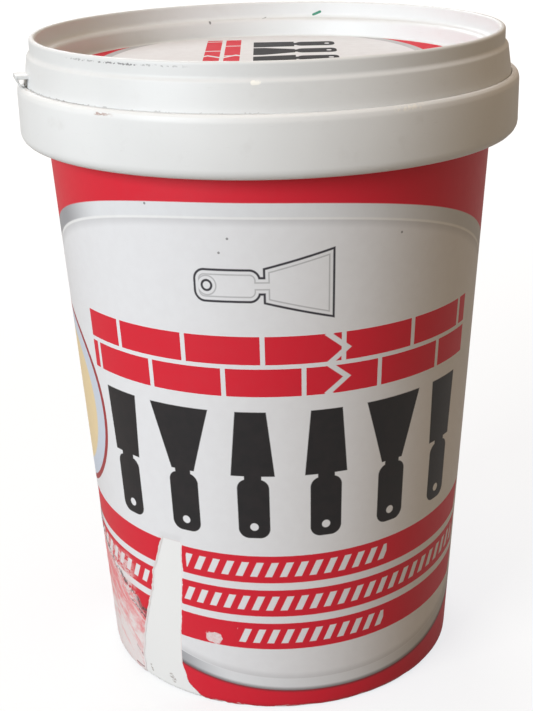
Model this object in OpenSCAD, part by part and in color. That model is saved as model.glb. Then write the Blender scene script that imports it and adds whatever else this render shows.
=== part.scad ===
// Wall filler tub: a tapered tub with a foot ring and a collar that stands up round its rim,
// a lift-off lid that sits on the rim inside the collar, a printed label wrapped round the wall,
// a printed disc in the lid, a small tab that joins the lid to the collar, and the filler inside.
// Millimetres, +Z up, origin at the centre of the foot, label front towards -Y, tab near -X.

/* [Tub] */
// Outer diameter of the wall at the foot
foot_d = 71.2; // [66:0.2:78]
// Outer diameter of the wall at the underside of the collar
wall_top_d = 84.5; // [80:0.1:92]
// Height of the underside of the collar above the foot
collar_z = 108.5; // [90:0.1:130]
// Thickness of the tub's wall, rim and collar web
wall_t = 1.2; // [0.9:0.1:1.6]
// Thickness of the floor
floor_t = 1.3; // [0.9:0.1:2.4]
// Depth of the recess under the floor, inside the foot ring
recess_h = 1.5; // [0.8:0.1:3]
// Width of the foot ring
foot_w = 3.4; // [2.6:0.1:6]
// Radius of the outer corner at the foot
foot_fillet = 1.1; // [0.6:0.1:1.8]
// Radius of the inside corner between floor and wall
floor_fillet = 2.5; // [1:0.1:4]

/* [Collar and rim] */
// How far the collar stands out from the top of the wall
collar_overhang = 5.25; // [4.6:0.05:7]
// Height of the collar
collar_h = 10.9; // [8:0.1:14]
// Thickness of the collar
collar_t = 1.1; // [0.8:0.1:1.5]
// Radius of the cove between the wall and the underside of the collar
collar_root_fillet = 0.6; // [0.3:0.1:2]
// Radius of the collar's lower outer corner
collar_foot_fillet = 2; // [0.8:0.1:2.4]
// Radius of the collar's upper outer corner
collar_head_fillet = 0.9; // [0.3:0.1:1]
// Height of the rim's seat for the lid above the top of the collar
rim_rise = 3.7; // [2.4:0.1:5]
// Radius of the rim's two edges
rim_fillet = 0.3; // [0.1:0.05:0.4]
// Height of the snap bead on the outside of the rim
bead_h = 2.4; // [1.6:0.1:3]

/* [Lid] */
// Thickness of the lid's skirt, web, plug and panel
lid_t = 1.1; // [0.8:0.1:1.4]
// Clearance between the lid and the tub's collar and rim
lid_gap = 0.4; // [0.3:0.05:0.6]
// Play between the skirt and the outside of the rim
skirt_play = 1; // [0.8:0.1:1.4]
// Gap between the skirt's lower edge and the floor of the channel inside the collar
skirt_foot_gap = 1.4; // [0.6:0.1:3]
// How far the skirt leans in between the collar and the shoulder
band_lean = 0.7; // [0.3:0.05:0.9]
// Height of the shoulder above the top of the web
shoulder_h = 0.4; // [0.2:0.1:1.4]
// Width of the shoulder outside the stacking lip
shoulder_w = 0.6; // [0.3:0.05:0.9]
// Height of the stacking lip above the top of the web
lip_h = 3.3; // [2.4:0.1:6]
// Thickness of the stacking lip
lip_t = 1.2; // [0.8:0.1:1.4]
// Drop of the panel's top below the top of the web
panel_drop = 3.6; // [2.4:0.1:6]
// Draft of the plug wall over its height
plug_draft = 0.3; // [0.1:0.05:0.6]
// Radius of the lid's soft corners
lid_fillet = 0.5; // [0.2:0.05:0.5]
// Radius of the two corners of the ledge inside the stacking lip
ledge_fillet = 0.9; // [0.3:0.05:1]

/* [Labels] */
// Thickness of the printed films
film_t = 0.2; // [0.1:0.01:0.3]
// Thickness of the bond under the films
bond_t = 0.03; // [0.02:0.01:0.05]
// Bare strip between the rounded foot and the wrap label
label_foot_gap = 0.2; // [0.1:0.1:2]
// Bare strip between the wrap label and the cove under the collar
label_head_gap = 0.1; // [0.1:0.1:3]
// Width of the butt seam at the back of the wrap label
seam_w = 1.2; // [0.6:0.1:3]
// Bare ring between the lid's printed disc and the plug wall
disc_margin = 1.4; // [0.6:0.1:6]

/* [Torn strip] */
// Height of the torn strip above the lower edge of the wrap label
tear_h = 35; // [20:0.5:50]
// Width of the torn strip
tear_w = 13; // [8:0.5:18]
// Angle of the torn strip round the tub, from the front
tear_turn = -41; // [-80:1:80]

/* [Tamper tab] */
// Width of the tab along the lid's edge
tab_w = 5; // [3:0.1:9]
// Thickness of the tab's ledge
tab_t = 0.75; // [0.5:0.05:1]
// Thickness of the tab's strut
strut_t = 0.55; // [0.4:0.05:0.7]
// How far the tab reaches out past the collar
tab_reach = 0.5; // [0.1:0.05:2]
// Clearance round the tab's root and above the collar
tab_gap = 0.2; // [0.1:0.05:0.3]
// Angle of the tab round the lid, from -X towards the front
tab_turn = 16; // [-90:1:90]

/* [Filler] */
// Height of the filler's surface at the wall, above the foot
fill_z = 95; // [40:0.5:104]
// Dip of the filler's surface in the middle
dip_h = 3; // [0.5:0.1:6]
// Gap between the filler and the wall
fill_gap = 0.1; // [0.05:0.01:0.2]

/* [Hidden] */
$fn = 128;

// Angle between two points on a rounded corner
corner_step = 15;
// Largest share of an edge that a rounded corner may use
corner_share = 0.45;

// Tub, from the foot up
foot_r = foot_d / 2;
wall_top_r = wall_top_d / 2;
floor_z = recess_h + floor_t;
collar_top_z = collar_z + collar_h;
ledge_z = collar_z + wall_t;
rim_z = collar_top_z + rim_rise;

// Collar, skirt, rim and plug nest inside each other, from the outside in
collar_r = wall_top_r + collar_overhang;
collar_in_r = collar_r - collar_t;
skirt_r = collar_in_r - lid_gap;
skirt_in_r = skirt_r - lid_t;
rim_r = skirt_in_r - skirt_play;
rim_in_r = rim_r - wall_t;
plug_r = rim_in_r - lid_gap;
plug_in_r = plug_r - lid_t;

// Snap bead on the rim: its height out of the rim is a share of the play, its place a share of the rise
bead_out_share = 0.4;
bead_drop_share = 1.2;
bead_r = rim_r + bead_out_share * skirt_play;
bead_z = rim_z - bead_drop_share * rim_rise;

// Lid, from the web up and down
web_z = rim_z + lid_t;
shoulder_z = web_z + shoulder_h;
lid_z = web_z + lip_h;
panel_z = web_z - panel_drop;
skirt_z = ledge_z + skirt_foot_gap;
band_h = shoulder_z - collar_top_z;
shoulder_r = skirt_r - band_lean;
lip_r = shoulder_r - shoulder_w;
lip_in_r = lip_r - lip_t;
panel_r = plug_in_r - plug_draft;
disc_r = panel_r - lid_fillet - disc_margin;

// Wrap label
label_z = foot_fillet + label_foot_gap;
label_top_z = collar_z - collar_root_fillet - label_head_gap;
seam_angle = seam_w / (foot_r + wall_top_r) * 360 / PI;

// Torn strip: points as shares of its width and height, from the lower left corner
tear_shares = [
    [0, -0.1], [0.83, -0.1], [0.8, 0.2], [0.84, 0.4], [0.92, 0.75], [1, 1], [0.8, 0.98],
    [0.68, 0.86], [0.6, 0.7], [0.5, 0.52], [0.42, 0.5], [0.3, 0.38], [0.2, 0.34], [0.06, 0.14]
];

// Tab: its root sits in a groove in the skirt, its strut stands over the collar
tab_rise_share = 0.38;
root_out_share = 0.2;
tab_z = collar_top_z + tab_rise_share * band_h;
root_r = tab_t / 2;
groove_r = root_r + tab_gap;
pivot_r = band_r(tab_z) + root_out_share * tab_t;
knee_x = collar_r + tab_reach - root_r - pivot_r;
strut_x = collar_r - collar_t / 2 - pivot_r;
strut_drop = tab_z - collar_top_z - tab_gap - strut_t / 2;
strut_l = norm([knee_x - strut_x, strut_drop]);
strut_angle = atan2(-strut_drop, strut_x - knee_x);

// Filler: the surface dips in a shallow bowl, given by a point part way out and down
bowl_out_share = 0.55;
bowl_dip_share = 0.8;
bowl_fillet = dip_h / bowl_dip_share;

// Outer radius of the tapered wall at height z
function wall_r(z) = foot_r + (wall_top_r - foot_r) * z / collar_z;

// Inner radius of the tapered wall at height z
function wall_in_r(z) = wall_r(z) - wall_t;

// Outer radius of the skirt's leaning band at height z
function band_r(z) = skirt_r - band_lean * (z - collar_top_z) / band_h;

// Unit vector along v
function unit(v) = v / norm(v);

// Angle from a to b, the short way round
function turn(a, b) = (b - a + 540) % 360 - 180;

// Points that round the corner at b = [r, z, radius] between its neighbours a and c
function corner(a, b, c) =
    let (
        tip = [b[0], b[1]],
        back = [a[0], a[1]] - tip,
        ahead = [c[0], c[1]] - tip,
        half = acos(unit(back) * unit(ahead)) / 2,
        cut = min(b[2] / tan(half), corner_share * min(norm(back), norm(ahead))),
        first = tip + cut * unit(back),
        last = tip + cut * unit(ahead),
        centre = tip + cut / cos(half) * unit(unit(back) + unit(ahead)),
        radius = norm(first - centre),
        start = atan2(first[1] - centre[1], first[0] - centre[0]),
        end = atan2(last[1] - centre[1], last[0] - centre[0]),
        steps = ceil(abs(turn(start, end)) / corner_step)
    )
    [for (i = [0 : steps])
        let (angle = start + turn(start, end) * i / steps)
        centre + radius * [cos(angle), sin(angle)]];

// Closed outline through corners [r, z, radius], each rounded by its radius
function rounded(corners) =
    let (count = len(corners))
    [for (i = [0 : count - 1])
        each corners[i][2] == 0
            ? [[corners[i][0], corners[i][1]]]
            : corner(corners[(i + count - 1) % count], corners[i], corners[(i + 1) % count])];

// Half section of the tub, from the middle of the recess out, up and back down the inside
function tub_section() = [
    [0, recess_h, 0],
    [foot_r - foot_w, recess_h, rim_fillet],
    [foot_r - foot_w, 0, rim_fillet],
    [foot_r, 0, foot_fillet],
    [wall_top_r, collar_z, collar_root_fillet],
    [collar_r, collar_z, collar_foot_fillet],
    [collar_r, collar_top_z, collar_head_fillet],
    [collar_in_r, collar_top_z, 0],
    [collar_in_r, ledge_z, rim_fillet],
    [rim_r, ledge_z, rim_fillet],
    [rim_r, bead_z - bead_h / 2, rim_fillet],
    [bead_r, bead_z, rim_fillet],
    [rim_r, bead_z + bead_h / 2, rim_fillet],
    [rim_r, rim_z, rim_fillet],
    [rim_in_r, rim_z, rim_fillet],
    [rim_in_r, ledge_z, rim_fillet],
    [wall_in_r(ledge_z), ledge_z, rim_fillet],
    [wall_in_r(floor_z), floor_z, floor_fillet],
    [0, floor_z, 0]
];

// Half section of the lid, from the middle of the panel's underside out, over the lip and back
function lid_section() = [
    [0, panel_z - lid_t, 0],
    [plug_r - plug_draft, panel_z - lid_t, lid_fillet],
    [plug_r, rim_z, rim_fillet],
    [band_r(rim_z) - lid_t, rim_z, rim_fillet],
    [skirt_in_r, collar_top_z, 0],
    [skirt_in_r, skirt_z, rim_fillet],
    [skirt_r, skirt_z, rim_fillet],
    [skirt_r, collar_top_z, 0],
    [shoulder_r, shoulder_z, rim_fillet],
    [lip_r, shoulder_z, rim_fillet],
    [lip_r, lid_z, lid_fillet],
    [lip_in_r, lid_z, lid_fillet],
    [lip_in_r, web_z, ledge_fillet],
    [plug_in_r, web_z, ledge_fillet],
    [panel_r, panel_z, lid_fillet],
    [0, panel_z, 0]
];

// Half section of the filler: the inside of the tub less a gap, with a bowl in its surface
function filler_section() =
    let (edge_r = wall_in_r(fill_z) - fill_gap)
    [
        [0, floor_z, 0],
        [wall_in_r(floor_z) - fill_gap, floor_z, floor_fillet],
        [edge_r, fill_z, rim_fillet],
        [bowl_out_share * edge_r, fill_z - bowl_dip_share * dip_h, bowl_fillet],
        [0, fill_z - dip_h, 0]
    ];

// Turns the tab's own drawing, reach by height, to its place on the lid and gives it its width
module at_tab(width) {
    rotate([0, 0, tab_turn])
        translate([-pivot_r, 0, tab_z])
            rotate([90, 0, 180])
                linear_extrude(height = width, center = true)
                    children();
}

// White moulded tub
module tub() {
    color("whitesmoke")
        rotate_extrude()
            polygon(rounded(tub_section()));
}

// Prism through the label with the outline of the torn strip
module tear_cut() {
    rotate([0, 0, tear_turn])
        translate([0, -foot_r / 2, label_z])
            rotate([90, 0, 0])
                linear_extrude(height = wall_top_r)
                    polygon([for (p = tear_shares) [(p[0] - 1 / 2) * tear_w, p[1] * tear_h]]);
}

// Printed film wrapped round the wall, butted at the back and torn near the front
module wrap_label() {
    color("crimson")
        difference() {
            rotate([0, 0, 90 + seam_angle / 2])
                rotate_extrude(angle = 360 - seam_angle)
                    polygon([
                        [wall_r(label_z) + bond_t, label_z],
                        [wall_r(label_z) + bond_t + film_t, label_z],
                        [wall_r(label_top_z) + bond_t + film_t, label_top_z],
                        [wall_r(label_top_z) + bond_t, label_top_z]
                    ]);
            tear_cut();
        }
}

// Ready-mixed filler
module filler() {
    color("linen")
        rotate_extrude()
            polygon(rounded(filler_section()));
}

// White moulded lid with a groove for the tab's root
module lid() {
    color("white")
        difference() {
            rotate_extrude()
                polygon(rounded(lid_section()));
            at_tab(tab_w + 2 * tab_gap)
                circle(r = groove_r);
        }
}

// Printed disc on the lid's panel
module lid_label() {
    color("tomato")
        translate([0, 0, panel_z + bond_t])
            cylinder(r = disc_r, h = film_t);
}

// Bar with round ends that runs from the origin along the first axis of a drawing
module bar(length, thickness) {
    translate([0, -thickness / 2])
        square([length, thickness]);
    circle(d = thickness);
    translate([length, 0])
        circle(d = thickness);
}

// Ledge out from the lid, with a strut that folds back down to the top of the collar
module tamper_tab() {
    color("white")
        at_tab(tab_w) {
            bar(knee_x, tab_t);
            translate([knee_x, 0])
                rotate(strut_angle)
                    bar(strut_l, strut_t);
        }
}

tub();
wrap_label();
filler();
lid();
lid_label();
tamper_tab();
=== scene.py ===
import math
import bmesh
import bpy
from mathutils import Matrix, Vector, noise


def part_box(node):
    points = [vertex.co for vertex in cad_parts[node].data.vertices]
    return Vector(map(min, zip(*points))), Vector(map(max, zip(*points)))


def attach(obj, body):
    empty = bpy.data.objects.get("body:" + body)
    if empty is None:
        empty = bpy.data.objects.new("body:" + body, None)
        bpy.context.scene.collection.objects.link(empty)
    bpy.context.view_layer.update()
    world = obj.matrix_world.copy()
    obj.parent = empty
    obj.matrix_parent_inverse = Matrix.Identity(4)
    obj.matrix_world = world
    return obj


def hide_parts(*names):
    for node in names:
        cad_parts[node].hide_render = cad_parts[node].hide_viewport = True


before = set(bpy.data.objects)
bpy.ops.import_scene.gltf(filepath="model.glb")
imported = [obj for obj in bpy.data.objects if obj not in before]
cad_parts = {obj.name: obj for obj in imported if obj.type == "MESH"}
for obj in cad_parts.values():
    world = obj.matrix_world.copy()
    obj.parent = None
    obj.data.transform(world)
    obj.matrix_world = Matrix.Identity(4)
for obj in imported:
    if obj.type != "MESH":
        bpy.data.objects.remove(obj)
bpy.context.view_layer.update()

# Camera. It stands a little above the lid, about 0.22 m in front of the tub, and looks down at it. Its
# lens is given by the photograph's focal length and height in pixels.
camera_place = Vector((0, -0.26472, 0.15931))
camera_yaw, camera_pitch, camera_roll = -0.0061, 0.3553, -0.0257
focal_px, photo_h_px = 1368.9, 711
sensor_mm = 36
ahead = Vector((
    math.sin(camera_yaw) * math.cos(camera_pitch),
    math.cos(camera_yaw) * math.cos(camera_pitch),
    -math.sin(camera_pitch),
))
level = ahead.cross(Vector((0, 0, 1))).normalized()
square_up = level.cross(ahead)
right = math.cos(camera_roll) * level + math.sin(camera_roll) * square_up
up = math.cos(camera_roll) * square_up - math.sin(camera_roll) * level
bpy.ops.object.camera_add()
camera = bpy.context.object
camera_turn = Matrix((right, up, -ahead)).transposed().to_4x4()
camera.matrix_world = Matrix.Translation(camera_place) @ camera_turn
camera.data.sensor_fit = "VERTICAL"
camera.data.sensor_height = sensor_mm
camera.data.lens = sensor_mm * focal_px / photo_h_px
bpy.context.scene.camera = camera


# Tub. A tapered tub of white polypropylene, injection moulded through a gate under its floor. It stands
# on a foot ring. A collar round its head takes the lid, which plugs into the thin rim inside it.
tub_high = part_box("tub")[1]
foot_r, wall_top_r, wall_t = 0.0356, 0.04225, 0.0012
recess_h, floor_t, foot_w = 0.0015, 0.0013, 0.0034
collar_z, collar_h, collar_t = 0.1085, 0.0109, 0.0011
collar_r, rim_z = tub_high.x, tub_high.z
collar_top_z, ledge_z, floor_z = collar_z + collar_h, collar_z + wall_t, recess_h + floor_t
rim_r, bead_r, bead_h, bead_z = 0.0439, 0.0443, 0.0024, 0.11866
gate_r, gate_h, pad_r, pad_h = 0.0022, 0.0007, 0.009, 0.0005
foot_fillet, floor_fillet, collar_fillet = 0.0011, 0.0025, 0.002
cove, soft_edge = 0.0006, 0.0003
head_w, head_h, seal_w = 0.0006, 0.0012, 0.00028
smooth_below = math.radians(35)


def wall_r(height):
    """Outer radius of the tapered wall at a height."""
    return foot_r + (wall_top_r - foot_r) * height / collar_z


def select_where(piece, kind, test):
    """In edit mode, selects the vertices or faces of the piece for which the test holds."""
    shape = bmesh.from_edit_mesh(piece.data)
    for part in shape.verts:
        part.select = False
    shape.select_flush(False)
    for part in getattr(shape, kind):
        if test(part):
            part.select_set(True)
    bmesh.update_edit_mesh(piece.data)


def turned(name, corners, steps=192, rounds=5):
    """Draws half a section through corners (radius, height, fillet), rounds them and spins it."""
    bpy.ops.object.select_all(action="DESELECT")
    bpy.ops.mesh.primitive_plane_add(size=corners[1][0])
    piece = bpy.context.object
    piece.name = piece.data.name = name
    bpy.ops.object.mode_set(mode="EDIT")
    bpy.ops.mesh.select_mode(type="VERT")
    bpy.ops.mesh.select_all(action="SELECT")
    bpy.ops.mesh.merge(type="CENTER")
    places = [Vector((radius, 0, height)) for radius, height, fillet in corners]
    bpy.ops.transform.translate(value=places[0])
    for before, after in zip(places, places[1:]):
        bpy.ops.mesh.extrude_vertices_move(TRANSFORM_OT_translate={"value": after - before})
    for index in range(1, len(corners) - 1):
        fillet, tip = corners[index][2], places[index]
        if not fillet:
            continue
        back, onward = places[index - 1] - tip, places[index + 1] - tip
        cut = fillet / math.tan(back.angle(onward) / 2)
        select_where(piece, "verts", lambda vertex: (vertex.co - tip).length < 1e-7)
        bpy.ops.mesh.bevel(offset=cut, segments=rounds, affect="VERTICES", clamp_overlap=True)
    bpy.ops.mesh.select_all(action="SELECT")
    bpy.ops.mesh.spin(steps=steps, angle=math.tau, center=(0, 0, 0), axis=(0, 0, 1))
    bpy.ops.mesh.select_all(action="SELECT")
    bpy.ops.mesh.remove_doubles(threshold=1e-6)
    bpy.ops.mesh.normals_make_consistent(inside=False)
    bpy.ops.object.mode_set(mode="OBJECT")
    bpy.ops.object.shade_smooth_by_angle(angle=smooth_below)
    return piece


tub = turned("tub_moulding", [
    (0, recess_h - gate_h, 0),
    (gate_r, recess_h - gate_h, soft_edge),
    (gate_r, recess_h + pad_h, soft_edge),
    (pad_r, recess_h + pad_h, soft_edge),
    (pad_r + pad_h, recess_h, soft_edge),
    (foot_r - foot_w, recess_h, soft_edge),
    (foot_r - foot_w, 0, soft_edge),
    (foot_r, 0, foot_fillet),
    (wall_top_r, collar_z, cove),
    (collar_r, collar_z, collar_fillet),
    (collar_r, collar_top_z - head_h, 2 * head_h),
    (collar_r - head_w / 3, collar_top_z - head_h / 3, head_h / 2),
    (collar_r - head_w, collar_top_z, soft_edge),
    (collar_r - collar_t - seal_w, collar_top_z, soft_edge / 2),
    (collar_r - collar_t - seal_w, collar_top_z - 2 * seal_w, seal_w),
    (collar_r - collar_t, collar_top_z - 4 * seal_w, seal_w),
    (collar_r - collar_t, ledge_z, soft_edge),
    (rim_r, ledge_z, soft_edge),
    (rim_r, bead_z - bead_h / 2, soft_edge),
    (bead_r, bead_z, soft_edge),
    (rim_r, bead_z + bead_h / 2, soft_edge),
    (rim_r, rim_z, soft_edge),
    (rim_r - wall_t, rim_z, soft_edge),
    (rim_r - wall_t, ledge_z, soft_edge),
    (wall_r(ledge_z) - wall_t, ledge_z, soft_edge),
    (wall_r(floor_z) - wall_t, floor_z, floor_fillet),
    (0, floor_z, 0),
])


class Wire:
    """An output socket in a material. Arithmetic on it adds Math nodes to the material."""

    # Share of a spot's or a stroke's radius within which it covers fully
    full_share = 0.6

    def __init__(self, tree, socket=None):
        self.tree = tree
        self.socket = socket

    def add(self, kind, settings, inputs, output=0):
        """Adds a node: first its settings, then the values or wires of its sockets."""
        node = self.tree.nodes.new("ShaderNode" + kind)
        for name, value in settings.items():
            setattr(node, name, value)
        for name, value in inputs.items():
            if isinstance(value, Wire):
                self.tree.links.new(value.socket, node.inputs[name])
            else:
                node.inputs[name].default_value = value
        return Wire(self.tree, node.outputs[output])

    def math(self, operation, *others):
        return self.add("Math", {"operation": operation}, dict(enumerate((self, *others))))

    def vector(self, operation, other, output="Vector"):
        return self.add("VectorMath", {"operation": operation}, {0: self, 1: other}, output)

    def __add__(self, other):
        return self.math("ADD", other)

    def __mul__(self, other):
        return self.math("MULTIPLY", other)

    def __sub__(self, other):
        return self.math("SUBTRACT", other)

    def __rsub__(self, other):
        return self.add("Math", {"operation": "SUBTRACT"}, {0: other, 1: self})

    def __truediv__(self, other):
        return self.math("DIVIDE", other)

    def __pow__(self, other):
        return self.math("POWER", other)

    def __abs__(self):
        return self.math("ABSOLUTE")

    def __neg__(self):
        return self * -1

    __radd__ = __add__
    __rmul__ = __mul__

    def at_least(self, other):
        return self.math("MAXIMUM", other)

    def at_most(self, other):
        return self.math("MINIMUM", other)

    def fade(self, low, high):
        """0 up to low and 1 from high on, with a smooth step between them; low may be the larger."""
        return self.add("MapRange", {"interpolation_type": "SMOOTHSTEP"}, {0: self, 1: low, 2: high})

    def clouds(self, scale, detail=2.0, stretch=(1, 1, 1)):
        """Noise at the places that this wire holds, drawn out by a stretch along each axis."""
        drawn = self.vector("MULTIPLY", stretch)
        return drawn.add("TexNoise", {}, {"Vector": drawn, "Scale": scale, "Detail": detail}, "Fac")

    def axes(self):
        outputs = self.add("SeparateXYZ", {}, {0: self}).socket.node.outputs
        return [Wire(self.tree, output) for output in outputs]

    def spot(self, centre, radius):
        """1 within a radius of a place, fading to 0 at its edge."""
        return self.vector("DISTANCE", centre, "Value").fade(radius, radius * self.full_share)

    def stroke(self, start, end, radius):
        """1 within a radius of the line between two places, fading to 0 at its edge."""
        line = Vector(end) - Vector(start)
        past = self.vector("SUBTRACT", start)
        share = past.vector("DOT_PRODUCT", line, "Value") / line.length_squared
        share = share.at_least(0).at_most(1)
        nearest = share.add("VectorMath", {"operation": "SCALE"}, {0: line, "Scale": share})
        return past.vector("DISTANCE", nearest, "Value").fade(radius, radius * self.full_share)

    def tint(self, under, over):
        """The colour under, covered by the colour over where this wire is 1."""
        return self.add("Mix", {"data_type": "RGBA"}, {0: self, 6: under, 7: over}, 2)

    def bump(self, depth_mm, strength=1.0):
        """Surface relief of this height; shader lengths are in metres."""
        return self.add("Bump", {}, {"Strength": strength, "Distance": depth_mm / 1000, "Height": self})


def new_finish(name):
    """A bare material, and a wire with the place of each point of the piece in millimetres."""
    material = bpy.data.materials.new(name)
    material.use_nodes = True
    place = Wire(material.node_tree).add("TexCoord", {}, {}, "Object")
    return material, place.add("VectorMath", {"operation": "SCALE"}, {0: place, "Scale": 1000})


def finish_off(material, sockets):
    """Sets or links the sockets of the material's shader."""
    shader = material.node_tree.nodes["Principled BSDF"]
    for name, value in sockets.items():
        if isinstance(value, Wire):
            material.node_tree.links.new(value.socket, shader.inputs[name])
        else:
            shader.inputs[name].default_value = value


def turn_degrees(place):
    """Angle of each point round the tub, in degrees: 0 at the front, rising to the right."""
    x, y = place.axes()[:2]
    return x.math("ARCTAN2", -y) * math.degrees(1)


shaded_share, scuff_grey, smudge_grey = 0.96, (0.42, 0.4, 0.37, 1), (0.5, 0.48, 0.45, 1)


def white_plastic(name, colour, marks):
    """Moulded polypropylene: cloudy white, faint scuffs and a fine grain, then the piece's own marks."""
    material, place = new_finish(name)
    cloudy = place.clouds(0.05, 3.0).fade(0.3, 0.7)
    scuffs = place.clouds(1.2, 4.0, (0.4, 0.4, 2.2)).fade(0.64, 0.8)
    grain = place.clouds(1.8, 3.0)
    shaded = [shaded_share * channel for channel in colour[:3]] + [1]
    surface = cloudy.tint(shaded, colour)
    surface = (scuffs * 0.1).tint(surface, scuff_grey)
    for mask, mark_colour in marks(place):
        surface = mask.tint(surface, mark_colour)
    finish_off(material, {
        "Base Color": surface,
        "Roughness": 0.42 + scuffs * 0.15 + cloudy * 0.06,
        "Normal": grain.bump(0.025, 0.5),
        "Specular IOR Level": 0.45,
    })
    return material


tub_white, covered_white = (0.815, 0.83, 0.83, 1), (0.89, 0.9, 0.895, 1)
smear_brown, scratch_and_highlight_cream, rub_grey = (0.3, 0.13, 0.08, 1), (0.93, 0.92, 0.86, 1), (0.42, 0.38, 0.36, 1)
rub_strokes = (
    ((-26.63, -23.91, 3.1), (-26.37, -24.1, 2.0), 0.4),
    ((-22.27, -28.02, 3.2), (-21.69, -28.4, 2.25), 0.7),
)


def tub_marks(place):
    """A cleaner wall where the label covered it, with two rubs; a smudged and smeared collar, with pale
    scratches and a painted highlight on its head at the right.
    """
    z = place.axes()[2]
    turn = turn_degrees(place)
    drawn = place.clouds(1.1, 4.0, (1, 1, 3))
    smudge = place.clouds(0.22, 4.0).fade(0.58, 0.78) * z.fade(106, 110)
    smear = z.fade(118.3, 118.5) * z.fade(119.0, 118.75) * turn.fade(-38, -37) * turn.fade(-32, -36)
    # Pale cream on the collar's head at the right: scratches, and a painted highlight along the rounded
    # edge.
    scratches_and_highlight = z.fade(118.3, 118.8) * z.fade(119.5, 119.2) * turn.fade(25, 27) * turn.fade(34, 31)
    scratches_and_highlight = scratches_and_highlight * place.clouds(1.6, 3.0).fade(0.45, 0.6)
    rubbed = drawn.fade(0.4, 0.56) * 0.85
    return [
        (z.fade(108, 107), covered_white),
        (smudge * 0.14, smudge_grey),
        (smear * drawn.fade(0.42, 0.54) * 0.7, smear_brown),
        (scratches_and_highlight * 0.8, scratch_and_highlight_cream),
    ] + [(place.stroke(*line) * rubbed, rub_grey) for line in rub_strokes]


tub.data.materials.append(white_plastic("tub_plastic", tub_white, tub_marks))
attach(tub, "tub")
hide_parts("tub")


# Wrap label. Printed plastic film, glued round the tapered wall and butted at the back. A strip has been
# torn off at the lower left, where the print beside it is rubbed through and the film has crumpled.
film_foot, film_head = 0.00025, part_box("wrap_label")[1].z
film_t, bond_t = 0.0002, 0.00003
seam_degrees, degree_mm = 0.88, 0.68
fine_top, fine_step, coarse_step = 0.04, 0.0006, 0.004
corner_turn, front_turn = -86, -14
columns_left, columns_corner, columns_torn, columns_front, columns_right = 32, 64, 6, 28, 66
tear_left = [
    (0.4, -51.5), (6, -50.8), (11.5, -48.5), (18, -45.1),
    (22.6, -42.5), (27.3, -40.8), (30, -39.2), (35.6, -36),
]
tear_right = [
    (0.4, -26.5), (1.2, -28), (3.4, -32), (7.7, -33.5),
    (14, -33), (22, -31.5), (30, -30.2), (36.4, -29.8),
]
rag_degrees, rag_paces = 0.35, (0.35, 0.9, 2.3)
tear_top_mm, thin_mm, thin_share = 36.2, 0.7, 0.15
crease_mm, crease_turn, crease_slope = 26.7, -73.7, 0.374
ripple_mm, ripple_pace, ridge_mm, ridge_half_mm = 0.06, 0.6, 0.22, 0.9
chip_share, chip_pace = 0.7, 0.5
film_smooth_below = math.radians(40)


def along(points, height_mm, seed):
    """Angle of a torn edge at a height: straight between its points, and ragged."""
    if height_mm >= points[-1][0]:
        return points[-1][1]
    for (low, first), (high, last) in zip(points, points[1:]):
        if height_mm <= high:
            share = max(0, (height_mm - low) / (high - low))
            rag = sum(noise.noise(Vector((height_mm * pace, seed, 0))) / pace ** 0.6 for pace in rag_paces)
            return first + (last - first) * share + rag_degrees * rag / seed


def spread(first, last, count):
    """Values from first up to last, without last."""
    return [first + (last - first) * step / count for step in range(count)]


def film_row(height):
    """Angles of one row of the film's vertices, and the places in it of the torn edges."""
    left, right = (along(edge, height * 1000, seed) for edge, seed in ((tear_left, 1), (tear_right, 2)))
    seam = 180 - seam_degrees / 2
    outer = spread(-seam, corner_turn, columns_left) + spread(corner_turn, left, columns_corner)
    inner = spread(left, right, columns_torn)
    rest = spread(right, front_turn, columns_front) + spread(front_turn, seam, columns_right) + [seam]
    return outer + inner + rest, len(outer), len(outer) + len(inner)


def foot_round(height):
    """How far the rounded foot draws the wall in at a height."""
    return foot_fillet - math.sqrt(foot_fillet ** 2 - max(0, foot_fillet - height) ** 2)


def crease_drop(degrees, height_mm):
    """How far below the slanting crease of the rubbed corner a point of the film lies, in millimetres."""
    return crease_mm - crease_slope * (degrees - crease_turn) - height_mm


def held(value):
    """The value, or 0 or 1 where it is past them."""
    return max(0, min(1, value))


row_heights = spread(film_foot, fine_top, round((fine_top - film_foot) / fine_step))
row_heights += spread(fine_top, film_head, round((film_head - fine_top) / coarse_step)) + [film_head]
bpy.ops.object.select_all(action="DESELECT")
bpy.ops.mesh.primitive_grid_add(
    x_subdivisions=len(film_row(film_foot)[0]) - 1,
    y_subdivisions=len(row_heights) - 1,
)
film = bpy.context.object
film.name = film.data.name = "printed_film"
full_t = film.vertex_groups.new(name="full_t")
torn_gaps = []
for row, height in enumerate(row_heights):
    angles, left_column, right_column = film_row(height)
    height_mm = height * 1000
    for column, angle in enumerate(angles):
        vertex = film.data.vertices[row * len(angles) + column]
        beside = max(angles[left_column] - angle, angle - angles[right_column], 0)
        gap = math.hypot(beside * degree_mm, max(0, height_mm - tear_top_mm))
        full = held(gap / thin_mm)
        crease = crease_drop(angle, height_mm)
        rubbed = held(crease / 4 + 0.5) * held((-44 - angle) / 4) * held((angle - corner_turn) / 8)
        here = Vector((angle * degree_mm, height_mm, 0))
        ripple = ripple_mm * (1 + noise.noise(here * ripple_pace))
        ridge = ridge_mm * math.exp(-(crease / ridge_half_mm) ** 2)
        here_t = film_t * (thin_share + (1 - thin_share) * full)
        lift = rubbed * full * (ripple + ridge) / 1000
        radius = wall_r(height) - foot_round(height) + bond_t + here_t + lift
        chip = max(0, noise.noise(Vector((angle * chip_pace, 3, 0)))) if row == 0 else 0
        turn = math.radians(angle)
        chipped = height + chip_share * chip * fine_step
        vertex.co = (radius * math.sin(turn), -radius * math.cos(turn), chipped)
        full_t.add([vertex.index], full, "REPLACE")
        torn_gaps.append(gap)
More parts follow.
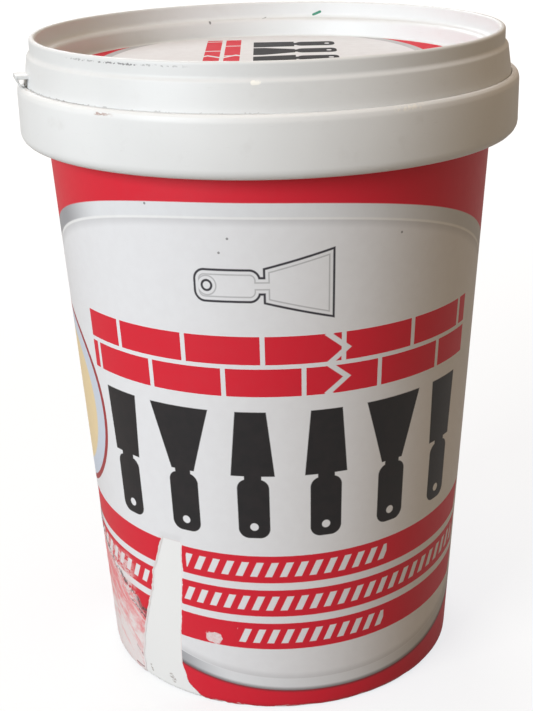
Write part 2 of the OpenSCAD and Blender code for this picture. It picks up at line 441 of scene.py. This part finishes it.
film.data.attributes.new("torn_gap", "FLOAT", "POINT").data.foreach_set("value", torn_gaps)
bpy.ops.object.mode_set(mode="EDIT")
bpy.ops.mesh.select_mode(type="FACE")


def in_tear(face):
    """True for the faces between the torn edges."""
    row, column = divmod(face.index, len(angles) - 1)
    return left_column <= column < right_column and row_heights[row + 1] * 1000 < tear_top_mm


select_where(film, "faces", in_tear)
bpy.ops.mesh.delete(type="FACE")
bpy.ops.object.mode_set(mode="OBJECT")
thickness = film.modifiers.new("thickness", "SOLIDIFY")
thickness.thickness = film_t
thickness.offset = -1
thickness.vertex_group = full_t.name
thickness.thickness_vertex_group = thin_share
bpy.ops.object.modifier_apply(modifier=thickness.name)
bpy.ops.object.shade_smooth_by_angle(angle=film_smooth_below)


def inked(edge, soft=0.1):
    """1 inside a drawn shape, given by the distance in millimetres to its outline."""
    return edge.fade(soft, -soft)


def band(value, low, high, soft=0.1):
    """1 between two values."""
    return value.fade(low - soft, low + soft) * value.fade(high + soft, high - soft)


def rounded_box(across, height, half_w, half_h, corner):
    """Distance to the outline of a box with round corners, centred on the two wires' zero."""
    side = abs(across) - (half_w - corner)
    top = abs(height) - (half_h - corner)
    beyond = (side.at_least(0) ** 2 + top.at_least(0) ** 2) ** 0.5
    return beyond + side.at_least(top).at_most(0) - corner


def oval_reach(across, height, half_w, half_h, power):
    """1 on the outline of an oval with flattened sides, centred on the wires' zero, and less inside it."""
    return ((abs(across) / half_w) ** power + (abs(height) / half_h) ** power) ** (1 / power)


def knife(across, along_it, tip, root):
    """Distance to the outline of a filling knife 26 mm long, from its handle's end to its blade's tip."""
    handle_mid, handle_half_w, handle_corner = 6.2, 3.0, 2.0
    neck_mid, neck_half_w, neck_half_h, neck_corner = 12.5, 1.6, 3.0, 0.3
    blade_foot, blade_tip, hole_mid, hole_r = 13.0, 26.0, 2.4, 0.8
    handle = rounded_box(across, along_it - handle_mid, handle_half_w, handle_mid, handle_corner)
    neck = rounded_box(across, along_it - neck_mid, neck_half_w, neck_half_h, neck_corner)
    half = root + (tip - root) * ((along_it - blade_foot) / (blade_tip - blade_foot))
    blade = (abs(across) - half).at_least(blade_foot - along_it).at_least(along_it - blade_tip)
    hole = hole_r - (across ** 2 + (along_it - hole_mid) ** 2) ** 0.5
    return handle.at_most(neck).at_most(blade).at_least(hole)


def knife_row(across, along_it, first, pitch, count):
    """A row of filling knives with blades of different widths."""
    step = (across - first) / pitch
    cell = step.math("FLOOR")
    tip = 4.0 + 2.0 * (cell * 1.9).math("SINE")
    drawn = knife((step - cell - 0.5) * pitch, along_it, tip, 5.6 - 0.55 * tip)
    return inked(drawn) * band(step, 0, count, 0.01)


def zigzag(height, pace, step, slope):
    """Sideways shift of a crack that runs up in steps to left and right."""
    return ((height * pace).math("PINGPONG", step) - step / 2) * slope


def brickwork(across, height, half_w, half_h):
    """Two courses of bricks in a rounded frame, with a stepped crack through them."""
    unit_mm, brick_mm, crack_at, corner = 20, 14, 9, 0.6
    joined = across.add("CombineXYZ", {}, {0: across + 10 * unit_mm, 1: height + half_h})
    joints = joined.add("TexBrick", {"offset": 0.5}, {
        "Vector": joined, "Scale": 1 / unit_mm, "Mortar Size": 0.022, "Mortar Smooth": 0.1,
        "Brick Width": brick_mm / unit_mm, "Row Height": half_h / unit_mm,
    }, "Fac")
    crack = abs(across - crack_at - zigzag(height, 0.5, 1.4, 2.4)).fade(0.9, 0.6)
    return inked(rounded_box(across, height, half_w, half_h, corner)) * (1 - joints) * (1 - crack)


print_red, print_black = (0.69, 0.0125, 0.033, 1), (0.012, 0.012, 0.014, 1)
print_white, print_grey = (0.80, 0.81, 0.83, 1), (0.3, 0.3, 0.31, 1)
silver_dark, silver_pale = (0.34, 0.345, 0.365, 1), (0.76, 0.78, 0.8, 1)
bright_white, shadow_red = (0.86, 0.87, 0.87, 1), (0.06, 0.03, 0.035, 1)
outline_black = (0.03, 0.03, 0.04, 1)
sky_blue, wall_cream, crack_brown = (0.62, 0.68, 0.78, 1), (0.85, 0.68, 0.4, 1), (0.2, 0.13, 0.08, 1)
ring_red, mottle_brown = (0.36, 0.03, 0.035, 1), (0.2, 0.12, 0.12, 1)


def panel_print(turn, height):
    """A red ground and a white panel: a leaning oval with a silver edge 3 mm wide and soft shadows."""
    panel_turn, panel_mid, lean = 4, 54, 0.25
    half_turn, half_h, power = 106, 49.8, 2.3
    rise = height - panel_mid
    oval = oval_reach(turn - panel_turn + rise * lean, rise, half_turn, half_h, power)
    below = height.fade(70, 40)
    lit = (turn + 0.34 * rise).fade(-52, -30) * (1 - 0.35 * turn.fade(20, 70))
    outer_shadow = oval.fade(1.014, 1.0) * oval.fade(0.98, 0.999) * below
    inner_shadow = oval.fade(0.91, 0.942) * oval.fade(0.946, 0.942)
    bright_line = band(oval, 0.943, 0.951, 0.003) * (1 - below)
    surface = oval.fade(1.002, 0.998).tint(print_red, lit.tint(silver_dark, silver_pale))
    surface = (outer_shadow * 0.7).tint(surface, shadow_red)
    surface = oval.fade(0.948, 0.944).tint(surface, print_white)
    surface = (inner_shadow * 0.28).tint(surface, print_grey)
    return bright_line.tint(surface, bright_white)


def motif_print(surface, across, height):
    """On the panel, an outlined knife, two courses of bricks and a row of knives."""
    emblem_mid, bricks_mid, knives_foot = 89, 73.8, 39
    emblem = knife(height - emblem_mid, (across + 12.5) * 1.12 + 0.6, 6.4, 3.2)
    surface = band(emblem, -0.32, 0.1, 0.1).tint(surface, outline_black)
    surface = (band(emblem, -1.1, -0.85, 0.1) * 0.6).tint(surface, print_grey)
    surface = brickwork(across - 2, height - bricks_mid, 41, 6.2).tint(surface, print_red)
    return knife_row(across, height - knives_foot, -38.5, 13.6, 6).tint(surface, print_black)


def stripe_print(surface, turn, height):
    """Three stripes under the knives, each with a row of slanting white dashes between two angles."""
    pitch, half_stripe, half_dash = 2.9, 2.95, 1.55
    bow = height - 0.00036 * turn ** 2
    for middle, first, last in ((32.1, -28, 33), (24.6, -76, 71), (17.1, -13, 33)):
        offset = bow - middle
        stripe = band(offset, -half_stripe, half_stripe) * band(turn - offset * 0.5, -77, 74, 0.2)
        surface = stripe.tint(surface, print_red)
        step = (turn * degree_mm - offset * 0.45) / pitch
        dash = abs(step - step.math("FLOOR") - 0.5) * pitch - pitch * 0.24
        dashes = inked(dash.at_least(abs(offset) - half_dash)) * band(turn, first, last, 0.2)
        surface = dashes.tint(surface, print_white)
    return surface


def ring_print(surface, turn, height):
    """A round picture at the left: a cracked cream wall in a pale blue border and a dark ring."""
    ring_turn, ring_mid = -85, 57.5
    aside = (turn - ring_turn) * degree_mm
    ring = (aside ** 2 + (height - ring_mid) ** 2) ** 0.5
    crack = inked(abs(aside - zigzag(height, 0.4, 1.6, 2.6)) - 0.9) * ring.fade(15.2, 15.0)
    surface = ring.fade(19.6, 19.4).tint(surface, sky_blue)
    surface = ring.fade(15.6, 15.0).tint(surface, wall_cream)
    surface = crack.tint(surface, crack_brown)
    return band(ring, 18.8, 19.9).tint(surface, ring_red)


def back_print(surface, x, y, height):
    """Two white panels at the back, each with three framed knives and ruled lines."""
    panel_mid, shelf_h, rule_pitch = 56, 24, 3.1
    behind = abs(x.math("ARCTAN2", y)) * (math.degrees(1) * degree_mm) - 31
    surface = inked(rounded_box(behind, height - panel_mid, 21, 40, 3)).tint(surface, print_white)
    shelf = (height - panel_mid) / shelf_h
    level_in = (shelf - (shelf + 0.5).math("FLOOR")) * shelf_h
    in_panel = band(height, 20, 92)
    box = rounded_box(behind + 9.5, level_in, 8, 9.5, 1)
    surface = (band(box, -0.25, 0.25) * in_panel).tint(surface, print_grey)
    drawn = inked(knife(behind + 9.5, (level_in + 7) * 1.8, 5, 2.6), 0.2)
    surface = (drawn * in_panel).tint(surface, print_red)
    line = abs((level_in / rule_pitch).math("FRACT") - 0.5) * rule_pitch - 1.2
    rules = line.fade(0.1, 0.3) * band(behind, 2, 18) * band(level_in, -9.3, 9.3) * in_panel
    return (rules * 0.8).tint(surface, print_grey)


worn_white, worn_red, thin_pink = (0.82, 0.76, 0.755, 1), (0.8, 0.03, 0.05, 1), (0.82, 0.7, 0.7, 1)
flake_white, stain_and_shade_maroon, nick_maroon = (0.78, 0.75, 0.74, 1), (0.15, 0.05, 0.06, 1), (0.27, 0.08, 0.1, 1)
grime_black, speck_black, bare_film = (0.075, 0.06, 0.065, 1), (0.08, 0.08, 0.08, 1), (0.82, 0.76, 0.76, 1)
nicks = (
    ((-29.9, -19.96, 1.58), (-28.1, -22.43, 1.6), 0.24, 0.64),
    ((-28.5, -22.33, 4.95), (-28.36, -22.44, 4.3), 0.28, 0.56),
    ((-29.52, -21.06, 6.08), (-29.0, -21.72, 5.41), 0.36, 0.32),
)
specks = ((-21.63, -36.16, 102.81), (-7.54, -41.12, 97.51), (-9.07, -40.65, 94.96), (22.61, -35.08, 96.32))


def film_finish(name):
    """The label's print and its wear: a rubbed corner beside the tear, frayed edges, a scuff and specks."""
    material, place = new_finish(name)
    x, y, height = place.axes()
    turn = turn_degrees(place)
    across = turn * degree_mm
    rough, fine = place.clouds(0.5, 4.0), place.clouds(2.2, 3.0)
    streaks = place.clouds(0.45, 5.0, (1, 1, 1.6))
    surface = panel_print(turn, height)
    surface = motif_print(surface, across, height)
    surface = stripe_print(surface, turn, height)
    surface = ring_print(surface, turn, height)
    surface = back_print(surface, x, y, height)

    # Below a slanting crease the ink is worn to pink in slanting strokes, and lower down to white
    straight = crease_drop(turn, height)
    crease = straight + (rough - 0.5) * 3.5
    corner = turn.fade(-43, -46) * (turn + 70 * (streaks - 0.5)).fade(-102, -94)
    slanting = place.add("CombineXYZ", {}, {0: across * 0.3, 1: straight})
    strokes = slanting.clouds(1.0, 3.0).fade(0.5, 0.62)
    ink = ((height - 10.5) / 7 + (streaks - 0.5) * 2.6).fade(-0.5, 1.1) * 0.66
    ink = ink + turn.fade(-55, -46) * height.fade(9, 13) * 0.3
    ink = ink * (1 - 0.6 * strokes) + 0.36 * slanting.clouds(0.6, 4.0).fade(0.5, 0.68) * height.fade(12, 8)
    worn = (ink + (fine - 0.5) * 0.35).tint(worn_white, worn_red)
    rubbed = (crease + (fine - 0.5) * 2).fade(-0.3, 0.5) * corner
    thinned = (streaks * 0.6 + fine * 0.6).fade(0.51, 0.66) * turn.fade(-49, -55)
    thinned = thinned * height.fade(28.5, 26.5) * corner
    surface = (thinned * 0.75).tint(surface, thin_pink)
    surface = rubbed.tint(surface, worn)

    # Along the crease, white flakes, a dark stain, grimy scratches and a few nicks, and painted shade at
    # its far left
    flakes = band(crease, -0.6, 2.6, 0.4) * turn.fade(-47, -52) * corner
    flakes = flakes * (streaks * 0.5 + fine * 0.5).fade(0.46, 0.53)
    surface = (flakes * 0.9).tint(surface, flake_white)
    stain_and_edge_shade = band(crease, -0.7, 2.4, 0.6) * turn.fade(-54, -49) * corner * fine.fade(0.35, 0.55)
    # Painted shade: the stain's maroon also darkens the crease band at the corner's far left, towards the
    # tub's left side.
    stain_and_edge_shade = stain_and_edge_shade.at_least(band(crease, -5, 0.5, 1.5) * turn.fade(-70, -77) * corner * 0.6)
    surface = (stain_and_edge_shade * 0.7).tint(surface, stain_and_shade_maroon)
    scratch = abs(crease).fade(0.75, 0.2)
    scratch = scratch.at_least(abs(crease - 2.1).fade(0.4, 0.1) * turn.fade(-58, -55))
    dirty = scratch * place.clouds(1.3, 4.0).fade(0.45, 0.55) * corner
    surface = (dirty * 0.85).tint(surface, grime_black)
    for start, end, radius, strength in nicks:
        surface = (place.stroke(start, end, radius) * strength).tint(surface, nick_maroon)

    # Bare film: the frayed edges of the tear, the chafed lower edge and a scuff on the third stripe
    torn = place.add("Attribute", {"attribute_name": "torn_gap"}, {}, "Fac")
    fray = (torn - 0.7 * rough).fade(0.1, 0.0) * height.fade(tear_top_mm, tear_top_mm - 0.6)
    chafed = (height - 0.15 - 2.6 * (streaks - 0.42)).fade(0.35, 0.0)
    chafed = chafed * turn.fade(-60, -40) * turn.fade(60, 30)
    scuff_up = height - 15.8
    scuff_aside = (turn + 20.8) * degree_mm + scuff_up * 0.5
    scuff = (scuff_aside ** 2 + (scuff_up * 1.1) ** 2) ** 0.5 + (rough - 0.5) * 3.4
    bare = fray.at_least(chafed * 0.8).at_least(scuff.fade(1.9, 1.5) * (0.55 + fine * 0.6))
    surface = bare.tint(surface, bare_film)
    for speck in specks:
        surface = (place.spot(speck, 0.28) * 0.7).tint(surface, speck_black)
    surface = (rough.fade(0.25, 0.75) * 0.03).tint(surface, mottle_brown)
    finish_off(material, {
        "Base Color": surface,
        "Roughness": 0.38 + rough * 0.1 + rubbed * 0.3 + bare * 0.25,
        "Normal": (rough * 0.4 + fine * 0.2 + rubbed * fine - bare * 0.6 - dirty).bump(0.06, 0.5),
        "Specular IOR Level": 0.45,
    })
    return material


film.data.materials.append(film_finish("wrap_film"))
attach(film, "tub")
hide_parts("wrap_label")


# Filler. Ready-mixed white paste that fills the tub to below its head. Its surface keeps the swirl of the
# filling nozzle and the marks of a knife that has scooped some out.
fill_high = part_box("filler")[1]
fill_r, fill_z = fill_high.x, fill_high.z
fill_gap, ring_count = 0.0001, 34
still_out, edge_share = 0.995, 0.12
dip_h, swirl_h, lump_h, scoop_h = 0.00135, 0.0006, 0.0003, 0.0022
scoop_x, scoop_y, scoop_w, scoop_l = 0.006, -0.004, 0.011, 0.02
paste_dry, paste_damp = (0.8, 0.79, 0.76, 1), (0.86, 0.86, 0.84, 1)
paste = turned("filler_paste", [
    (0, floor_z, 0),
    (wall_r(floor_z) - wall_t - fill_gap, floor_z, floor_fillet),
    (fill_r, fill_z - soft_edge, 0),
] + [(fill_r * (1 - ring / ring_count), fill_z - soft_edge, 0) for ring in range(1, ring_count + 1)])
for vertex in paste.data.vertices:
    x, y, z = vertex.co
    out = math.hypot(x, y) / fill_r
    if z < fill_z - 2 * soft_edge or out > still_out:
        continue
    swirl = math.sin(26 * out - 2 * math.atan2(y, x) + 1.5 * noise.noise(Vector((x, y, 0)) * 60))
    lumps = noise.noise(Vector((x, y, 0.1)) * 90) + 0.5 * noise.noise(Vector((x, y, 0.2)) * 240)
    scoop = math.exp(-(((x - scoop_x) / scoop_w) ** 2 + ((y - scoop_y) / scoop_l) ** 2))
    drop = dip_h * (1 - out ** 2) + swirl_h * (1 + swirl) + lump_h * lumps + scoop_h * scoop
    vertex.co.z -= held((1 - out) / edge_share) * drop
paste_finish, place = new_finish("filler_paste")
grit = place.clouds(2.4, 4.0)
damp = place.clouds(0.12, 3.0).fade(0.35, 0.65)
finish_off(paste_finish, {
    "Base Color": (damp * 0.6 + grit * 0.3).tint(paste_dry, paste_damp),
    "Roughness": 0.72 - damp * 0.28,
    "Normal": (grit + place.clouds(0.7, 2.0)).bump(0.12, 0.6),
})
paste.data.materials.append(paste_finish)
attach(paste, "tub")
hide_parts("filler")


# Lid. A white polypropylene moulding that lifts straight off: its skirt hangs inside the collar, its plug
# fits the rim, and a lip stands round its sunk panel so that tubs stack.
lid_low, lid_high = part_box("lid")
skirt_r, lid_z, skirt_z = lid_high.x, lid_high.z, lid_low.z
lid_t, band_lean, shoulder_h, lip_step, lip_t = 0.0011, 0.0007, 0.0004, 0.0006, 0.0012
web_z, shoulder_z = rim_z + lid_t, rim_z + lid_t + shoulder_h
shoulder_r, lip_r = skirt_r - band_lean, skirt_r - band_lean - lip_step
plug_r, plug_draft, panel_z = 0.0423, 0.0003, 0.1206
lid_edge, ledge_fillet, shoulder_fillet = 0.0005, 0.0009, 0.0007
lid = turned("lid_moulding", [
    (0, panel_z - lid_t, 0),
    (plug_r - plug_draft, panel_z - lid_t, lid_edge),
    (plug_r, rim_z, soft_edge),
    (skirt_r - band_lean - lid_t, rim_z, soft_edge),
    (skirt_r - lid_t, collar_top_z, soft_edge),
    (skirt_r - lid_t, skirt_z, soft_edge),
    (skirt_r, skirt_z, soft_edge),
    (skirt_r, collar_top_z, soft_edge),
    (shoulder_r, shoulder_z - soft_edge, shoulder_fillet),
    (lip_r, shoulder_z + soft_edge, shoulder_fillet),
    (lip_r, lid_z, lid_edge),
    (lip_r - lip_t, lid_z, lid_edge),
    (lip_r - lip_t, web_z, ledge_fillet),
    (plug_r - lid_t, web_z, ledge_fillet),
    (plug_r - lid_t - plug_draft, panel_z, lid_edge),
    (0, panel_z, 0),
])
lid_white, grime_and_shade_brown, tick_black = (0.75, 0.767, 0.768, 1), (0.13, 0.1, 0.09, 1), (0.06, 0.055, 0.06, 1)
paint_black, paint_green, fleck_highlight_cream = (0.06, 0.06, 0.065, 1), (0.02, 0.22, 0.13, 1), (0.95, 0.94, 0.88, 1)
paint_specks = (
    ((-12.3, 39.6, 124.2), (-12.1, 39.0, 123.6), 0.34, 0.8, paint_black),
    ((-0.8, 42.0, 124.2), (-0.1, 43.2, 124.2), 0.26, 0.56, paint_black),
    ((10.3, 42.27, 124.75), (11.75, 41.88, 125.4), 0.34, 1, paint_green),
)


def lid_marks(place):
    """Grime and painted shade in the joint over the collar, worn ink ticks on the lip, paint specks, a
    painted highlight on a fleck and faint smudges.
    """
    x, y, z = place.axes()
    turn = turn_degrees(place)
    rough = place.clouds(1.1, 4.0)
    smudge = place.clouds(0.2, 4.0).fade(0.58, 0.8)
    # Dark brown in the joint over the collar, on the left half: grime, and painted shade in the narrow gap
    # between skirt and collar.
    joint_grime_and_shade = (z - 119.36 - 0.3 * rough * rough.fade(0.5, 0.62)).fade(0.15, 0.02) * z.fade(118.2, 118.8)
    joint_grime_and_shade = joint_grime_and_shade * turn.fade(3, -6) * turn.fade(-76, -66)
    joint_grime_and_shade = joint_grime_and_shade * (0.34 + 0.3 * turn.fade(-40, -44) * turn.fade(-54, -50))
    outside = (x ** 2 + y ** 2) ** 0.5
    row = abs(z - 126.65 - (place.clouds(1.7, 3.0) - 0.5) * 0.7).fade(0.17, 0.07) * outside.fade(44.2, 44.5)
    ticks = row * place.clouds(2.3, 2.0, (1, 1, 0.3)).fade(0.46, 0.52)
    black = turn.fade(-41.5, -39.5) * turn.fade(-27, -29.5)
    faint = turn.fade(-52, -45) * turn.fade(-15, -22) * (1 - black)
    # A pale cream streak on the lid's shoulder at the front: a painted highlight on a small fleck.
    drop = place.stroke((-2.4, -45.1, 124.2), (-1.5, -45.2, 124.3), 0.5) * rough.fade(0.3, 0.5)
    marks = [
        (smudge * 0.12, smudge_grey),
        (joint_grime_and_shade, grime_and_shade_brown),
        (ticks * (black * 0.7 + faint * 0.4), tick_black),
        (drop, fleck_highlight_cream),
    ]
    for start, end, radius, strength, colour in paint_specks:
        marks.append((place.stroke(start, end, radius) * strength, colour))
    return marks


lid.data.materials.append(white_plastic("lid_plastic", lid_white, lid_marks))
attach(lid, "lid")
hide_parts("lid")


# Lid label. A disc of the same printed film, stuck down in the lid's sunk panel. Its print is turned a
# quarter round from the tub's, with the blades of the knives towards the tab.
disc_low, disc_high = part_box("lid_label")
disc_r, disc_z = disc_high.x, disc_high.z
disc_edge, disc_silver = 0.00008, (0.55, 0.56, 0.58, 1)
disc = turned("printed_disc", [
    (0, disc_low.z, 0),
    (disc_r, disc_low.z, 0),
    (disc_r, disc_z, disc_edge),
    (0.6 * disc_r, disc_z, 0),
    (0, disc_z, 0),
])
disc_finish, place = new_finish("lid_film")
x, y = place.axes()[:2]
rough = place.clouds(0.5, 4.0)
oval = oval_reach(x + 1, y, 33, 44, 2.2)
surface = oval.fade(1.004, 0.996).tint(print_red, disc_silver)
surface = oval.fade(0.945, 0.94).tint(surface, print_white)
surface = brickwork(y, x + 9, 33, 4).tint(surface, print_red)
surface = knife_row(y, (14 - x) * 1.55, -30, 10, 6).tint(surface, print_black)
surface = (rough.fade(0.25, 0.75) * 0.05).tint(surface, mottle_brown)
finish_off(disc_finish, {
    "Base Color": surface,
    "Roughness": 0.56 + rough * 0.14,
    "Normal": rough.bump(0.05, 0.5),
    "Specular IOR Level": 0.1,
})
disc.data.materials.append(disc_finish)
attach(disc, "lid")
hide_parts("lid_label")


# Tamper tab. A ledge moulded on the lid's band at the left, with a strut that folds back down to the top of
# the collar. It hinges where it meets the band, and is bent up to free the lid.
tab_w, tab_t, strut_t = 0.005, 0.00075, 0.00055
tab_past_collar, strut_gap, tab_edge = 0.0005, 0.0002, 0.00016
facing = 0.9
pivot = Vector((-0.044107, -0.012647, 0.121376))
out_turn = math.atan2(pivot.y, pivot.x)
pivot_r = math.hypot(pivot.x, pivot.y)
knee = collar_r + tab_past_collar - tab_t / 2 - pivot_r
strut_out = collar_r - collar_t / 2 - pivot_r
strut_up = collar_top_z + strut_gap + strut_t / 2 - pivot.z
bpy.ops.object.select_all(action="DESELECT")
bpy.ops.mesh.primitive_cube_add(size=1)
tab = bpy.context.object
tab.name = tab.data.name = "tab_moulding"
bpy.ops.object.mode_set(mode="EDIT")
bpy.ops.mesh.select_mode(type="FACE")
bpy.ops.transform.resize(value=(knee, tab_w, tab_t))
bpy.ops.transform.translate(value=(knee / 2, 0, 0))
select_where(tab, "faces", lambda face: face.normal.x > facing)
bpy.ops.mesh.extrude_region_move(TRANSFORM_OT_translate={"value": (tab_t / 2, 0, 0)})
select_where(tab, "faces", lambda face: face.normal.z < -facing and face.calc_center_median().x > knee)
bpy.ops.mesh.extrude_region_move(TRANSFORM_OT_translate={
    "value": (strut_out - knee, 0, strut_up + tab_t / 2 - strut_t / 2),
})
select_where(tab, "faces", lambda face: face.normal.x < -facing and face.calc_center_median().x < knee / 2)
bpy.ops.mesh.extrude_region_move(TRANSFORM_OT_translate={"value": (-tab_t / 2, 0, 0)})
bpy.ops.object.mode_set(mode="OBJECT")
rounding = tab.modifiers.new("rounding", "BEVEL")
rounding.width = tab_edge
rounding.segments = 4
bpy.ops.object.modifier_apply(modifier=rounding.name)
tab.data.transform(Matrix.Translation(pivot) @ Matrix.Rotation(out_turn, 4, "Z"))
bpy.ops.object.shade_smooth_by_angle(angle=smooth_below)
tab.data.materials.append(lid.data.materials[0])
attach(tab, "tab")
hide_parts("tamper_tab")


# Studio. A plain pale floor, a large soft lamp at the left in front, as from a window, weaker ones behind
# and overhead, and a warm room light.
floor_w, mirrored_share = 6.0, 0.25
floor_grey, near_glow, far_glow = (0.26, 0.24, 0.21, 1), (0.74, 0.765, 0.795, 1), (0.9, 0.915, 0.935, 1)
room_colour, room_level, backdrop_white = (1.0, 0.72, 0.45, 1), 0.3, (1, 1, 1, 1)
lamp_aim, lamp_gap, lamp_w = Vector((0, 0, 0.07)), 1.4, 0.7
daylight, warm_white = (0.86, 0.93, 1.0), (1.0, 0.89, 0.83)
bpy.ops.object.select_all(action="DESELECT")
bpy.ops.mesh.primitive_plane_add(size=floor_w)
floor = bpy.context.object
floor.name = "floor"


def backdrop_rays(tree):
    """1 for the rays from the camera, which see the backdrop; mirrored and refracted rays see it dimmed."""
    seen = Wire(tree).add("LightPath", {}, {}, "Is Camera Ray")
    rays = seen.socket.node.outputs
    mirrored, refracted = Wire(tree, rays["Is Glossy Ray"]), Wire(tree, rays["Is Transmission Ray"])
    return seen.at_least(mirrored.at_least(refracted) * mirrored_share)


floor_paint = bpy.data.materials.new("floor_paint")
floor_paint.use_nodes = True
finish_off(floor_paint, {"Base Color": floor_grey, "Roughness": 0.9, "Specular IOR Level": 0.1})
floor_tree = floor_paint.node_tree
seen = backdrop_rays(floor_tree)
floor_place = seen.add("TexCoord", {}, {}, "Object")
away = floor_place.add("VectorMath", {"operation": "LENGTH"}, {0: floor_place}, "Value").fade(0.1, 0.8)
glow = seen.add("Emission", {}, {"Color": away.tint(near_glow, far_glow), "Strength": seen})
painted = Wire(floor_tree, floor_tree.nodes["Principled BSDF"].outputs[0])
both = seen.add("AddShader", {}, {0: glow, 1: painted})
floor_tree.links.new(both.socket, floor_tree.nodes["Material Output"].inputs["Surface"])
floor.data.materials.append(floor_paint)


def soft_lamp(turn, rise, watts, colour):
    """A square lamp that faces the tub, at an angle round it from the front and one above the floor."""
    turn, rise = math.radians(turn), math.radians(rise)
    way = Vector((math.sin(turn) * math.cos(rise), -math.cos(turn) * math.cos(rise), math.sin(rise)))
    bpy.ops.object.light_add(type="AREA", location=lamp_aim + lamp_gap * way)
    lamp = bpy.context.object
    lamp.rotation_euler = way.to_track_quat("Z", "Y").to_euler()
    lamp.data.size = lamp_w
    lamp.data.energy = watts
    lamp.data.color = colour


soft_lamp(turn=-44, rise=21, watts=18.2, colour=daylight)
soft_lamp(turn=196, rise=36, watts=7.5, colour=daylight)
soft_lamp(turn=0, rise=88, watts=5.0, colour=warm_white)

world = bpy.data.worlds.new("room")
bpy.context.scene.world = world
world.use_nodes = True
seen = backdrop_rays(world.node_tree)
room_light = world.node_tree.nodes["Background"]
world.node_tree.links.new(seen.tint(room_colour, backdrop_white).socket, room_light.inputs["Color"])
world.node_tree.links.new((room_level + (1 - room_level) * seen).socket, room_light.inputs["Strength"])
bpy.context.scene.view_settings.view_transform = "Standard"
